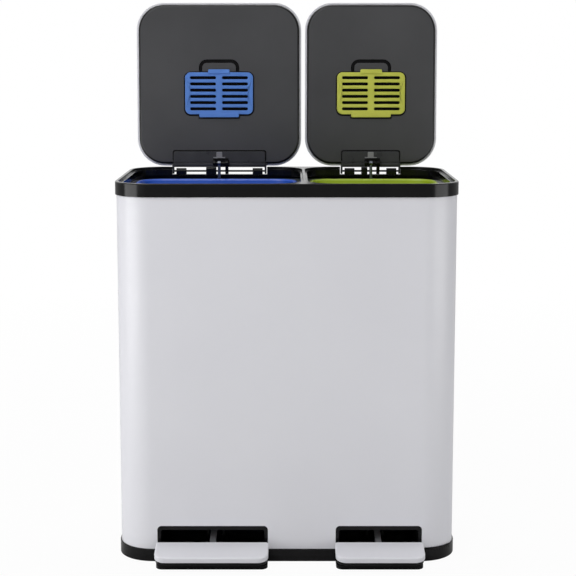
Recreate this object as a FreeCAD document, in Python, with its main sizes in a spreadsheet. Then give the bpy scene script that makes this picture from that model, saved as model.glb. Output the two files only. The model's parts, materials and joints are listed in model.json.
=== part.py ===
import FreeCAD, Part
import math
import os
from types import SimpleNamespace

import Sketcher

# Double recycling bin: a white steel body with two buckets of unequal width, each under its
# own lid that its own pedal opens. Millimetres; origin on the floor under the middle of the
# body, front towards -Y. Drawn as it stands open: both lids up and both pedals pressed.

sizes = {
    # footprint of the top frame and of the base
    "rim_width": 500.0,
    "rim_depth": 290.0,
    "rim_corner": 53.0,
    # steel body
    "shell_inset": 2.0,
    "shell_sheet": 1.0,
    "shell_gap": 0.15,
    "shell_grip": 5.0,
    # top frame
    "rim_top": 557.5,
    "rim_band": 19.5,
    "lip_width": 5.0,
    "ledge_width": 4.5,
    "ledge_drop": 4.0,
    "inner_wall": 9.8,
    "divider_x": 26.0,
    "rim_fillet": 1.4,
    "divider_half": 5.2,
    "rib_half": 2.0,
    # lids
    "lid_open": 92.0,
    "lid_margin": 9.0,
    "lid_gap": 3.0,
    "lid_reach": 260.6,
    "lid_setback": 8.4,
    "lid_underside": 3.3,
    "lid_crown": 10.0,
    "skin_sheet": 0.8,
    "skin_fillet": 3.0,
    "hem_height": 7.4,
    "panel_inset": 3.4,
    "panel_seat": 0.1,
    "panel_floor": 2.6,
    "panel_rim": 3.0,
    "panel_fillet": 4.0,
    # lid hinges
    "hinge_inset": 12.0,
    "hinge_drop": 6.2,
    "left_hinge_half": 76.0,
    "right_hinge_half": 48.2,
    "pin_radius": 1.5,
    "pin_clearance": 0.04,
    "ear_width": 3.0,
    "ear_radius": 4.5,
    "ear_step": 0.45,
    "knuckle_inset": 6.4,
    "knuckle_width": 16.0,
    "knuckle_radius": 4.6,
    "cut_clearance": 0.8,
    "cut_floor": 545.5,
    "plate_near": 6.4,
    "plate_far": 31.7,
    "plate_thick": 2.5,
    "plate_clearance": 2.5,
    "bead_depth": 0.9,
    "bead_width": 1.7,
    "first_bead": 0.8,
    "second_bead": 6.5,
    "plate_corner": 3.0,
    "plate_near_corner": 0.6,
    "ear_root": 7.0,
    "damper_high": 12.0,
    "damper_deep": 11.0,
    "damper_edge": 5.2,
    "damper_foot_corner": 0.8,
    "damper_crown_corner": 3.2,
    "left_damper_width": 16.4,
    "right_damper_width": 9.6,
    # crank that the push rod lifts
    "crank_forward": 13.0,
    "crank_below": 10.2,
    "crank_pin": 2.0,
    "crank_boss": 4.0,
    "crank_back": 20.7,
    "crank_deep": 3.7,
    "crank_web": 2.7,
    "crank_under": 1.0,
    "crank_seat": 0.2,
    "crank_root": 5.0,
    "crank_eye": 0.9,
    "cheek_right": 14.5,
    "cheek_left": 10.0,
    "cheek_width": 5.0,
    "cheek_thinning": 1.0,
    "eye_radius": 4.0,
    "eye_width": 5.0,
    "rod_radius": 2.4,
    "rod_gap": 0.5,
    # clip on the hinge plate
    "clip_width": 9.4,
    "clip_span": 19.2,
    "clip_thick": 1.5,
    "clip_gap": 0.3,
    "clip_end": 0.9,
    "clip_corner": 0.8,
    "clip_foot_corner": 0.3,
    "wing_high": 1.6,
    "wing_thick": 2.4,
    "wing_corner": 0.5,
    # filter cassette
    "grille_width": 108.9,
    "grille_near": 91.3,
    "grille_far": 158.5,
    "grille_corner": 9.0,
    "grille_thick": 3.0,
    "grille_proud": 2.0,
    "slot_length": 41.0,
    "slot_height": 4.3,
    "slot_flat": 0.15,
    "slot_pitch": 10.2,
    "slot_gap": 10.2,
    "pull_width": 34.6,
    "pull_reach": 4.7,
    "pull_overlap": 3.0,
    "pull_corner": 2.0,
    "tab_width": 63.6,
    "tab_reach": 4.8,
    "tab_root_corner": 1.0,
    "tab_corner": 1.8,
    "tab_room": 1.6,
    "tab_room_far": 2.4,
    "tab_room_corner": 1.5,
    "arch_width": 64.7,
    "arch_rise": 20.4,
    "arch_groove": 5.4,
    "arch_corner": 13.0,
    "arch_foot_corner": 1.0,
    "arch_foot_lift": 0.5,
    "recess_depth": 1.9,
    "cassette_wall": 3.0,
    "cassette_edge": 4.4,
    "filter_thick": 6.0,
    "filter_gap": 0.3,
    "plug_gap": 0.4,
    "cover_seat": 0.1,
    # buckets
    "bucket_clearance": 4.5,
    "bucket_rod_gap": 0.7,
    "bucket_top": 540.6,
    "bucket_taper": 13.0,
    "bucket_wall": 2.0,
    "bucket_lip": 5.5,
    "bucket_lip_high": 4.0,
    "bucket_lip_flat": 0.8,
    "bucket_corner": 36.0,
    # deck that the buckets stand on
    "deck_thick": 2.5,
    "lever_room": 0.7,
    "deck_rear": 106.0,
    "deck_side": 236.0,
    "deck_front": 131.0,
    "post_size": 16.0,
    "post_x": 200.0,
    # base
    "base_floor": 3.0,
    "base_band": 18.5,
    "base_wall": 2.5,
    "base_inner_high": 14.0,
    "foot_radius": 11.0,
    "foot_thick": 2.0,
    "foot_x": 190.0,
    "foot_y": 88.0,
    "toe_reach": 33.0,
    "toe_thick": 5.4,
    "toe_corner": 10.0,
    "toe_overlap": 30.0,
    # pedal openings and their frames
    "left_notch": 162.2,
    "right_notch": 126.6,
    "notch_top": 53.0,
    "notch_corner": 6.0,
    "surround_wall": 5.0,
    "surround_top_wall": 6.4,
    "surround_corner": 3.0,
    "surround_deep": 26.0,
    "surround_gap": 0.2,
    "surround_setback": 1.0,
    # pedals
    "pivot_y": 35.0,
    "pivot_z": 39.5,
    "pedal_overhang": 1.1,
    "pedal_clearance": 6.0,
    "pedal_length": 48.0,
    "pedal_top": 9.8,
    "pedal_hem": 8.0,
    "pedal_sheet": 1.2,
    "pedal_corner": 16.0,
    "pedal_rear_corner": 4.0,
    "pedal_fillet": 2.4,
    "tray_gap": 0.2,
    "tray_drop": 5.3,
    "lever_width": 8.5,
    "lever_top": 5.3,
    "lever_bottom": 4.2,
    "lever_tail": 7.0,
    "lever_corner": 2.0,
    "lever_end_gap": 1.0,
    "boss_radius": 9.0,
    "boss_width": 20.0,
    "shaft_radius": 4.0,
    "shaft_clearance": 0.05,
    "shaft_proud": 1.5,
    "bracket_wall": 3.0,
    "bracket_gap": 0.5,
    "bracket_half": 16.0,
    # guides that steady the push rods on the rear wall
    "guide_low": 300.0,
    "guide_high": 10.0,
    "guide_half": 12.0,
    "guide_room": 0.9,
    "guide_wall": 3.0,
    "guide_flat": 0.3,
}

doc = FreeCAD.newDocument("RecyclingBin")
sheet = doc.addObject("Spreadsheet::Sheet", "Sizes")
for row, (alias, number) in enumerate(sizes.items(), 1):
    sheet.set(f"A{row}", alias)
    sheet.set(f"B{row}", str(number))
    sheet.setAlias(f"B{row}", alias)
doc.recompute()


class Size:
    """A length that knows its value and the sheet expression it comes from."""

    def __init__(self, value, text):
        self.value = value
        self.text = text

    def join(self, other, sign, result):
        return Size(result, f"({self.text} {sign} {as_size(other).text})")

    def __add__(self, other):
        return self.join(other, "+", self.value + as_size(other).value)

    def __sub__(self, other):
        return self.join(other, "-", self.value - as_size(other).value)

    def __mul__(self, other):
        return self.join(other, "*", self.value * as_size(other).value)

    def __truediv__(self, other):
        return self.join(other, "/", self.value / as_size(other).value)

    def __neg__(self):
        return Size(-self.value, f"(0 - {self.text})")


def as_size(number):
    return number if isinstance(number, Size) else Size(float(number), repr(float(number)))


def sine(angle):
    return Size(math.sin(math.radians(angle.value)), f"sin({angle.text} * 1 deg)")


def cosine(angle):
    return Size(math.cos(math.radians(angle.value)), f"cos({angle.text} * 1 deg)")


def root(square):
    return Size(math.sqrt(square.value), f"sqrt({square.text})")


d = SimpleNamespace(**{name: Size(value, f"Sizes.{name}") for name, value in sizes.items()})

# ---- drawing helpers: every sketch lies across one axis, at a height along that axis ----

PLANES = {"x": ("YZ_Plane", 1), "y": ("XZ_Plane", -1), "z": ("XY_Plane", 1)}


def new_body(label):
    return doc.addObject("PartDesign::Body", label)


def sketch(body, axis, at):
    role, sign = PLANES[axis]
    plane = next(f for f in body.Origin.OriginFeatures if f.Role == role)
    drawn = body.newObject("Sketcher::SketchObject", f"{body.Name}_{axis}")
    drawn.AttachmentSupport = [(plane, "")]
    drawn.MapMode = "FlatFace"
    height = as_size(at) if sign > 0 else -as_size(at)
    drawn.setExpression("AttachmentOffset.Base.z", height.text)
    return drawn


def hold(drawn, kind, *where):
    """Adds a constraint whose last argument is a Size, tied to the sheet."""
    size = as_size(where[-1])
    number = drawn.addConstraint(Sketcher.Constraint(kind, *where[:-1], size.value))
    drawn.setExpression(f"Constraints[{number}]", size.text)


def rounded(drawn, left, right, low, high, corner, high_corner=None):
    """A rectangle with round corners; high_corner differs for the two upper ones."""
    left, right, low, high, corner = map(as_size, (left, right, low, high, corner))
    upper = corner if high_corner is None else as_size(high_corner)
    x0, x1, y0, y1 = left.value, right.value, low.value, high.value
    a, b = corner.value, upper.value
    ends = [
        ((x0 + a, y0), (x1 - a, y0)),
        ((x1, y0 + a), (x1, y1 - b)),
        ((x1 - b, y1), (x0 + b, y1)),
        ((x0, y1 - b), (x0, y0 + a)),
    ]
    middles = [(x1 - a, y0 + a, a), (x1 - b, y1 - b, b), (x0 + b, y1 - b, b), (x0 + a, y0 + a, a)]
    lines = [
        drawn.addGeometry(Part.LineSegment(FreeCAD.Vector(*p, 0), FreeCAD.Vector(*q, 0)))
        for p, q in ends
    ]
    arcs = []
    for turn, (x, y, radius) in enumerate(middles):
        circle = Part.Circle(FreeCAD.Vector(x, y, 0), FreeCAD.Vector(0, 0, 1), radius)
        start = (turn - 1) * math.pi / 2
        arcs.append(drawn.addGeometry(Part.ArcOfCircle(circle, start, start + math.pi / 2)))
    for i in range(4):
        drawn.addConstraint(Sketcher.Constraint("Tangent", lines[i], 2, arcs[i], 1))
        drawn.addConstraint(Sketcher.Constraint("Tangent", arcs[i], 2, lines[(i + 1) % 4], 1))
        drawn.addConstraint(Sketcher.Constraint("Vertical" if i % 2 else "Horizontal", lines[i]))
    drawn.addConstraint(Sketcher.Constraint("Equal", arcs[0], arcs[3]))
    drawn.addConstraint(Sketcher.Constraint("Equal", arcs[1], arcs[2]))
    hold(drawn, "Radius", arcs[0], corner)
    hold(drawn, "Radius", arcs[1], upper)
    hold(drawn, "DistanceX", -1, 1, lines[3], 1, left)
    hold(drawn, "DistanceX", -1, 1, lines[1], 1, right)
    hold(drawn, "DistanceY", -1, 1, lines[0], 1, low)
    hold(drawn, "DistanceY", -1, 1, lines[2], 1, high)


def polygon(drawn, corners):
    corners = [(as_size(x), as_size(y)) for x, y in corners]
    count = len(corners)
    lines = []
    for i in range(count):
        p, q = corners[i], corners[(i + 1) % count]
        start = FreeCAD.Vector(p[0].value, p[1].value, 0)
        end = FreeCAD.Vector(q[0].value, q[1].value, 0)
        lines.append(drawn.addGeometry(Part.LineSegment(start, end)))
    for i in range(count):
        follower = lines[(i + 1) % count]
        drawn.addConstraint(Sketcher.Constraint("Coincident", lines[i], 2, follower, 1))
        hold(drawn, "DistanceX", -1, 1, lines[i], 1, corners[i][0])
        hold(drawn, "DistanceY", -1, 1, lines[i], 1, corners[i][1])


def rectangle(drawn, left, right, low, high):
    polygon(drawn, [(left, low), (right, low), (right, high), (left, high)])


def disc(drawn, x, y, radius):
    x, y, radius = as_size(x), as_size(y), as_size(radius)
    circle = Part.Circle(FreeCAD.Vector(x.value, y.value, 0), FreeCAD.Vector(0, 0, 1), radius.value)
    made = drawn.addGeometry(circle)
    hold(drawn, "Radius", made, radius)
    hold(drawn, "DistanceX", -1, 1, made, 3, x)
    hold(drawn, "DistanceY", -1, 1, made, 3, y)


def extrude(body, kind, drawn, length):
    """Pads or pockets from the sketch towards the higher side of its axis."""
    before = body.Shape.Volume if body.Tip else 0.0
    made = body.newObject(f"PartDesign::{kind}", f"{body.Name}_{kind}")
    made.Profile = drawn
    made.setExpression("Length", as_size(length).text)
    across_y = drawn.AttachmentSupport[0][0].Role == "XZ_Plane"
    made.Reversed = across_y if kind == "Pad" else not across_y
    drawn.Visibility = False
    doc.recompute()
    grown = made.Shape.Volume - before
    if (grown <= 0) if kind == "Pad" else (grown >= 0):
        raise ValueError(f"{made.Name} changes nothing")
    return made


def pad(body, drawn, length):
    return extrude(body, "Pad", drawn, length)


def pocket(body, drawn, length):
    return extrude(body, "Pocket", drawn, length)


def soften(body, radius, wanted):
    """Rounds the edges of the body so far that wanted(edge) picks."""
    base = body.Tip
    names = [f"Edge{i}" for i, e in enumerate(base.Shape.Edges, 1) if wanted(e.BoundBox)]
    made = body.newObject("PartDesign::Fillet", f"{body.Name}_Fillet")
    made.Base = (base, names)
    made.setExpression("Radius", as_size(radius).text)
    doc.recompute()
    return made


def flat_at(box, axis, value):
    """True for an edge that lies whole at one height along an axis."""
    low, high = getattr(box, f"{axis.upper()}Min"), getattr(box, f"{axis.upper()}Max")
    return abs(low - value) < 0.01 and abs(high - value) < 0.01


def place(made, x=0.0, y=0.0, z=0.0, turn=None):
    """Puts a sub-part at its place, turned about X by an angle in degrees."""
    if turn is not None:
        made.Placement = FreeCAD.Placement(
            FreeCAD.Vector(), FreeCAD.Rotation(FreeCAD.Vector(1, 0, 0), 1.0)
        )
        made.setExpression("Placement.Rotation.Angle", f"{turn.text} * 1 deg")
    for axis, at in (("x", x), ("y", y), ("z", z)):
        made.setExpression(f"Placement.Base.{axis}", as_size(at).text)


def rod_across(label, low, length, y, z, radius):
    """A round pin along X."""
    made = doc.addObject("Part::Cylinder", label)
    made.setExpression("Radius", radius.text)
    made.setExpression("Height", length.text)
    made.Placement = FreeCAD.Placement(
        FreeCAD.Vector(), FreeCAD.Rotation(FreeCAD.Vector(0, 1, 0), 90)
    )
    for axis, at in (("x", low), ("y", y), ("z", z)):
        made.setExpression(f"Placement.Base.{axis}", at.text)
    return made


slot_rows = 6
overrun = 1  # how far a cutting profile runs past the face that it opens


# ---- places that several pieces share ----

half_width = d.rim_width / 2
half_depth = d.rim_depth / 2
rim_bottom = d.rim_top - d.rim_band
ledge_top = d.rim_top - d.ledge_drop
opening_edge = d.lip_width + d.ledge_width
hinge_y = half_depth - d.hinge_inset
hinge_z = d.rim_top - d.hinge_drop
lid_near = d.lid_setback
lid_far = d.lid_setback + d.lid_reach
pivot_y = -d.pivot_y
notch_floor = d.toe_thick
pedal_near = half_depth - d.pivot_y + d.pedal_clearance

# the crank pin's place while the lid stands open, how far forward it comes on its way down,
# and how far closing the lid lowers the rod
crank_radius = root(d.crank_forward * d.crank_forward + d.crank_below * d.crank_below)
crank_front_y = hinge_y - crank_radius
crank_open_y = hinge_y - d.crank_forward * cosine(d.lid_open) - d.crank_below * sine(d.lid_open)
crank_open_z = hinge_z + d.crank_forward * sine(d.lid_open) - d.crank_below * cosine(d.lid_open)
rod_rise = crank_open_z - (hinge_z - d.crank_below)
lever_reach = crank_open_y - pivot_y
swing_value = math.degrees(math.atan(rod_rise.value / lever_reach.value))
pedal_swing = Size(swing_value, f"(atan({rod_rise.text} / {lever_reach.text}) / 1 deg)")
lever_slope = rod_rise / lever_reach


def lever_height(y):
    """Height of the pressed lever's upper side at one distance along Y."""
    return d.pivot_z + (d.pivot_y + y) * lever_slope + d.lever_top / cosine(pedal_swing)


# the deck clears the raised lever, and the buckets stand on the deck
deck_low = lever_height(d.deck_rear) + d.lever_room
deck_top = deck_low + d.deck_thick


def span(side, outer_inset, divider_inset):
    """The stretch of X that one side's lid or opening takes, between the outline and divider."""
    if side == "left":
        return -half_width + outer_inset, d.divider_x - divider_inset
    return d.divider_x + divider_inset, half_width - outer_inset


def of_side(side, name):
    return getattr(d, f"{side}_{name}")


def lid_middle(side):
    low, high = span(side, d.lid_margin, d.lid_gap)
    return (low + high) / 2


def open_lid(body):
    """Turns a piece drawn on a closed lid, with its hinge at the origin, to where it stands."""
    place(body, y=hinge_y, z=hinge_z, turn=-d.lid_open)


def pressed(body):
    """Turns a piece drawn on a level pedal, with its pivot at the origin, to where it stands."""
    place(body, y=pivot_y, z=d.pivot_z, turn=pedal_swing)


# ---- body, base and top frame ----


def outline(drawn, inset):
    """The bin's footprint, drawn in from the outside of the rim."""
    rounded(
        drawn,
        -half_width + inset,
        half_width - inset,
        -half_depth + inset,
        half_depth - inset,
        d.rim_corner - inset,
    )


def ring(body, inset, wall, low, height):
    drawn = sketch(body, "z", low)
    outline(drawn, inset)
    outline(drawn, wall + inset)
    return drawn, height


def make_shell():
    body = new_body("outer_shell")
    low = d.base_floor + d.shell_gap
    pad(body, *ring(body, d.shell_inset, d.shell_sheet, low, rim_bottom + d.shell_grip - low))
    for side in ("left", "right"):
        half = of_side(side, "notch") / 2
        middle = lid_middle(side)
        drawn = sketch(body, "y", -half_depth)
        rounded(drawn, middle - half, middle + half, -d.notch_top, d.notch_top, d.notch_corner)
        pocket(body, drawn, d.surround_deep)


def make_base():
    body = new_body("base")
    drawn = sketch(body, "z", 0)
    outline(drawn, 0)
    pad(body, drawn, d.base_floor)
    outer_wall = d.shell_inset - d.shell_gap
    pad(body, *ring(body, 0, outer_wall, 0, d.base_band))
    inner = d.shell_inset + d.shell_sheet + d.shell_gap
    pad(body, *ring(body, inner, d.base_wall, 0, d.base_inner_high))
    top = d.base_band.value
    soften(
        body,
        (d.shell_inset - d.shell_gap) / 2,
        lambda box: flat_at(box, "z", top) and is_on_outline(box, 0.0),
    )
    for side in ("left", "right"):
        half = of_side(side, "notch") / 2
        middle = lid_middle(side)
        drawn = sketch(body, "z", 0)
        rounded(
            drawn,
            middle - half,
            middle + half,
            -half_depth - d.toe_reach,
            -half_depth + d.toe_overlap,
            d.toe_corner,
        )
        pad(body, drawn, d.toe_thick)
        drawn = sketch(body, "z", d.toe_thick)
        rectangle(
            drawn,
            middle - half,
            middle + half,
            -half_depth - d.toe_reach,
            -half_depth + d.toe_overlap,
        )
        pocket(body, drawn, d.base_band)
    drawn = sketch(body, "z", 0)
    for x in (-d.foot_x, d.foot_x):
        for y in (-d.foot_y, d.foot_y):
            disc(drawn, x, y, d.foot_radius + d.shell_gap)
    pocket(body, drawn, d.foot_thick)


def is_on_outline(box, inset):
    """True for an edge on the bin's outline, drawn in by an inset."""
    x = half_width.value - inset
    y = half_depth.value - inset
    reach = d.rim_corner.value
    outer_x = max(abs(box.XMin), abs(box.XMax)) > x - reach * 0.3
    outer_y = max(abs(box.YMin), abs(box.YMax)) > y - reach * 0.3
    touches = abs(max(abs(box.XMin), abs(box.XMax)) - x) < 0.01
    touches = touches or abs(max(abs(box.YMin), abs(box.YMax)) - y) < 0.01
    return touches and (outer_x or outer_y)


def make_base_pads():
    feet = []
    for x in (-d.foot_x, d.foot_x):
        for y in (-d.foot_y, d.foot_y):
            foot = doc.addObject("Part::Cylinder", "foot")
            foot.setExpression("Radius", d.foot_radius.text)
            foot.setExpression("Height", d.foot_thick.text)
            foot.setExpression("Placement.Base.x", x.text)
            foot.setExpression("Placement.Base.y", y.text)
            feet.append(foot)
    pads = doc.addObject("Part::Compound", "base_pads")
    pads.Links = feet
    return pads


def make_top_frame():
    body = new_body("top_frame")
    drawn = sketch(body, "z", rim_bottom)
    outline(drawn, 0)
    pad(body, drawn, d.rim_band)
    # rebate that takes the lid, then the opening inside it
    for side in ("left", "right"):
        low, high = span(side, d.lip_width, d.rib_half)
        drawn = sketch(body, "z", ledge_top)
        front = -half_depth + d.lip_width
        rounded(drawn, low, high, front, -front, d.rim_corner - d.lip_width)
        pocket(body, drawn, d.ledge_drop)
    for side in ("left", "right"):
        low, high = span(side, opening_edge, d.divider_half)
        drawn = sketch(body, "z", rim_bottom)
        front = -half_depth + opening_edge
        rounded(drawn, low, high, front, -front, d.rim_corner - opening_edge)
        pocket(body, drawn, d.rim_band)
    # hollow underside behind the skirt, and the groove that grips the steel body
    drawn = sketch(body, "z", rim_bottom)
    outline(drawn, d.lip_width)
    pocket(body, drawn, d.rim_band - d.ledge_drop - d.inner_wall)
    groove = d.shell_sheet + d.shell_gap * 2
    pocket(body, *ring(body, d.shell_inset - d.shell_gap, groove, rim_bottom, d.shell_grip))
    top = d.rim_top.value
    soften(body, d.rim_fillet, lambda box: flat_at(box, "z", top) and is_on_outline(box, 0.0))
    for side in ("left", "right"):
        middle = lid_middle(side)
        reach = of_side(side, "hinge_half")
        drawn = sketch(body, "z", d.cut_floor)
        cut = reach + d.cut_clearance
        wall = half_depth - opening_edge
        rectangle(drawn, middle - cut, middle + cut, wall - overrun, half_depth + overrun)
        pocket(body, drawn, d.rim_top - d.cut_floor)
        for start in (-reach + d.knuckle_inset, reach - d.knuckle_inset - d.knuckle_width):
            drawn = sketch(body, "x", middle + start)
            root = d.cut_floor - d.knuckle_radius / 2
            polygon(
                drawn,
                [
                    (hinge_y - d.knuckle_radius, hinge_z),
                    (hinge_y - d.knuckle_radius, d.cut_floor),
                    (wall - overrun, root),
                    (wall + d.ledge_width, root),
                    (wall + d.ledge_width, hinge_z),
                ],
            )
            pad(body, drawn, d.knuckle_width)
            drawn = sketch(body, "x", middle + start)
            disc(drawn, hinge_y, hinge_z, d.knuckle_radius)
            pad(body, drawn, d.knuckle_width)
            drawn = sketch(body, "x", middle + start - overrun)
            disc(drawn, hinge_y, hinge_z, d.pin_radius + d.pin_clearance)
            pocket(body, drawn, d.knuckle_width + overrun * 2)


# ---- pieces that each side has in the body ----


def make_hinge_pin(side):
    reach = of_side(side, "hinge_half")
    low = lid_middle(side) - reach
    rod_across(f"{side}_hinge_pin", low, reach * 2, hinge_y, hinge_z, d.pin_radius)


def make_damper(side):
    """Rotary damper round the hinge pin, seated on the floor of the frame's cut-out."""
    body = new_body(f"{side}_damper")
    width = of_side(side, "damper_width")
    low = lid_middle(side) - d.damper_edge - width
    front = hinge_y - d.damper_deep / 2
    rear = front + d.damper_deep
    foot, crown = d.damper_foot_corner, d.damper_crown_corner
    drawn = sketch(body, "x", low)
    rounded(drawn, front, rear, d.cut_floor, d.cut_floor + d.damper_high, foot, crown)
    pad(body, drawn, width)
    drawn = sketch(body, "x", low)
    disc(drawn, hinge_y, hinge_z, d.pin_radius + d.pin_clearance)
    pocket(body, drawn, width)


bucket_rear = crank_front_y - d.rod_radius - d.bucket_rod_gap


def bucket_section(body, z, side, inset, taper):
    low, high = span(side, opening_edge + d.bucket_clearance, d.divider_half + d.bucket_clearance)
    front = -half_depth + opening_edge + d.bucket_clearance
    drawn = sketch(body, "z", z)
    inward = inset + taper
    corner = d.bucket_corner - inset
    rounded(
        drawn, low + inward, high - inward, front + inward, bucket_rear - inward, corner
    )
    return drawn


def loft(body, kind, lower, upper):
    made = body.newObject(f"PartDesign::{kind}", f"{body.Name}_{kind}")
    made.Profile = lower
    made.Sections = [upper]
    made.Ruled = True
    doc.recompute()
    return made


def make_bucket(side):
    body = new_body(f"{side}_bucket")
    lip = d.bucket_lip
    flat = as_size(0)
    under_lip = d.bucket_top - d.bucket_lip_high
    lower = bucket_section(body, deck_top, side, lip, d.bucket_taper)
    upper = bucket_section(body, d.bucket_top, side, lip, flat)
    loft(body, "AdditiveLoft", lower, upper)
    pad(body, bucket_section(body, under_lip, side, flat, flat), d.bucket_lip_high)
    inner = lip + d.bucket_wall
    lower = bucket_section(body, deck_top + d.bucket_wall, side, inner, d.bucket_taper)
    upper = bucket_section(body, d.bucket_top, side, inner, flat)
    loft(body, "SubtractiveLoft", lower, upper)
    top = d.bucket_top.value
    soften(body, (d.bucket_lip_high - d.bucket_lip_flat) / 2, lambda box: flat_at(box, "z", top))


def make_deck():
    body = new_body("bucket_deck")
    drawn = sketch(body, "z", deck_low)
    rounded(drawn, -d.deck_side, d.deck_side, -d.deck_front, d.deck_rear, d.bucket_corner)
    pad(body, drawn, d.deck_thick)
    drawn = sketch(body, "z", d.base_floor)
    half = d.post_size / 2
    front_row = -d.deck_front + d.bucket_corner + half
    rear_row = d.deck_rear - half
    for x in (-d.post_x, d.divider_x, d.post_x):
        for y in (front_row, rear_row):
            rectangle(drawn, x - half, x + half, y - half, y + half)
    pad(body, drawn, deck_low - d.base_floor)


def make_surround(side):
    """Frame that lines a pedal opening, standing on the toe of the base."""
    body = new_body(f"{side}_pedal_surround")
    half = of_side(side, "notch") / 2 - d.surround_gap
    middle = lid_middle(side)
    top = d.notch_top - d.surround_gap
    drawn = sketch(body, "y", -half_depth + d.shell_inset + d.surround_setback)
    rounded(drawn, middle - half, middle + half, -top, top, d.notch_corner - d.surround_gap)
    pad(body, drawn, d.surround_deep)
    inner = half - d.surround_wall
    drawn = sketch(body, "y", -half_depth)
    inner_top = top - d.surround_top_wall
    rounded(drawn, middle - inner, middle + inner, -top * 2, inner_top, d.surround_corner)
    pocket(body, drawn, d.surround_deep * 2)
    drawn = sketch(body, "y", -half_depth)
    rectangle(drawn, middle - half * 2, middle + half * 2, -top * 2, notch_floor)
    pocket(body, drawn, d.surround_deep * 2)


def make_bracket(side):
    """Upright ears on the base that carry the pedal's shaft."""
    body = new_body(f"{side}_pedal_bracket")
    middle = lid_middle(side)
    inner = d.boss_width / 2 + d.bracket_gap
    outer = inner + d.bracket_wall
    low_y = pivot_y - d.bracket_half
    drawn = sketch(body, "z", d.base_floor)
    rectangle(drawn, middle - outer, middle + outer, low_y, pivot_y + d.bracket_half)
    pad(body, drawn, d.bracket_wall)
    crown = d.boss_radius
    for start in (-outer, inner):
        drawn = sketch(body, "x", middle + start)
        polygon(
            drawn,
            [
                (low_y, d.base_floor),
                (pivot_y + d.bracket_half, d.base_floor),
                (pivot_y + crown, d.pivot_z),
                (pivot_y - crown, d.pivot_z),
            ],
        )
        pad(body, drawn, d.bracket_wall)
        drawn = sketch(body, "x", middle + start)
        disc(drawn, pivot_y, d.pivot_z, crown)
        pad(body, drawn, d.bracket_wall)
    drawn = sketch(body, "x", middle - outer)
    disc(drawn, pivot_y, d.pivot_z, d.shaft_radius + d.shaft_clearance)
    pocket(body, drawn, outer * 2)


def make_shaft(side):
    reach = d.boss_width / 2 + d.bracket_gap + d.bracket_wall + d.shaft_proud
    low = lid_middle(side) - reach
    rod_across(f"{side}_pedal_shaft", low, reach * 2, pivot_y, d.pivot_z, d.shaft_radius)


def make_guide(side):
    """Slotted guide on the rear wall that steadies the push rod half way up."""
    body = new_body(f"{side}_rod_guide")
    middle = lid_middle(side)
    rear = half_depth - d.shell_inset - d.shell_sheet
    room = d.rod_radius + d.guide_room
    front = crank_front_y - room - d.guide_wall
    drawn = sketch(body, "z", d.guide_low)
    rectangle(drawn, middle - d.guide_half, middle + d.guide_half, front, rear)
    pad(body, drawn, d.guide_high)
    drawn = sketch(body, "z", d.guide_low)
    low_y, high_y = crank_front_y - room, crank_open_y + room
    rounded(drawn, middle - room, middle + room, low_y, high_y, room - d.guide_flat)
    pocket(body, drawn, d.guide_high)


# ---- lid pieces, drawn on the closed lid with the hinge axis at Y = 0, Z = 0 ----


def lid_outline(drawn, side, inset):
    low, high = span(side, d.lid_margin, d.lid_gap)
    rounded(
        drawn,
        low + inset,
        high - inset,
        -lid_far + inset,
        -lid_near - inset,
        d.rim_corner - d.lid_margin - inset,
    )


def make_skin(side):
    body = new_body(f"{side}_lid_skin")
    drawn = sketch(body, "z", d.lid_crown - d.hem_height)
    lid_outline(drawn, side, as_size(0))
    pad(body, drawn, d.hem_height)
    crown = d.lid_crown.value
    soften(body, d.skin_fillet, lambda box: flat_at(box, "z", crown))
    base = body.Tip
    hem = (d.lid_crown - d.hem_height).value
    under = [f"Face{i}" for i, f in enumerate(base.Shape.Faces, 1) if flat_at(f.BoundBox, "z", hem)]
    hollow = body.newObject("PartDesign::Thickness", f"{body.Name}_Hollow")
    hollow.Base = (base, under)
    hollow.setExpression("Value", d.skin_sheet.text)
    hollow.Reversed = True
    hollow.Join = 0
    doc.recompute()
    open_lid(body)


def cassette_span(side, edge):
    """X and Y limits of the filter's pocket in the panel, drawn in from the grille's edge."""
    middle = lid_middle(side)
    half = d.grille_width / 2 - edge
    return middle - half, middle + half, -d.grille_far + edge, -d.grille_near - edge


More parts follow.
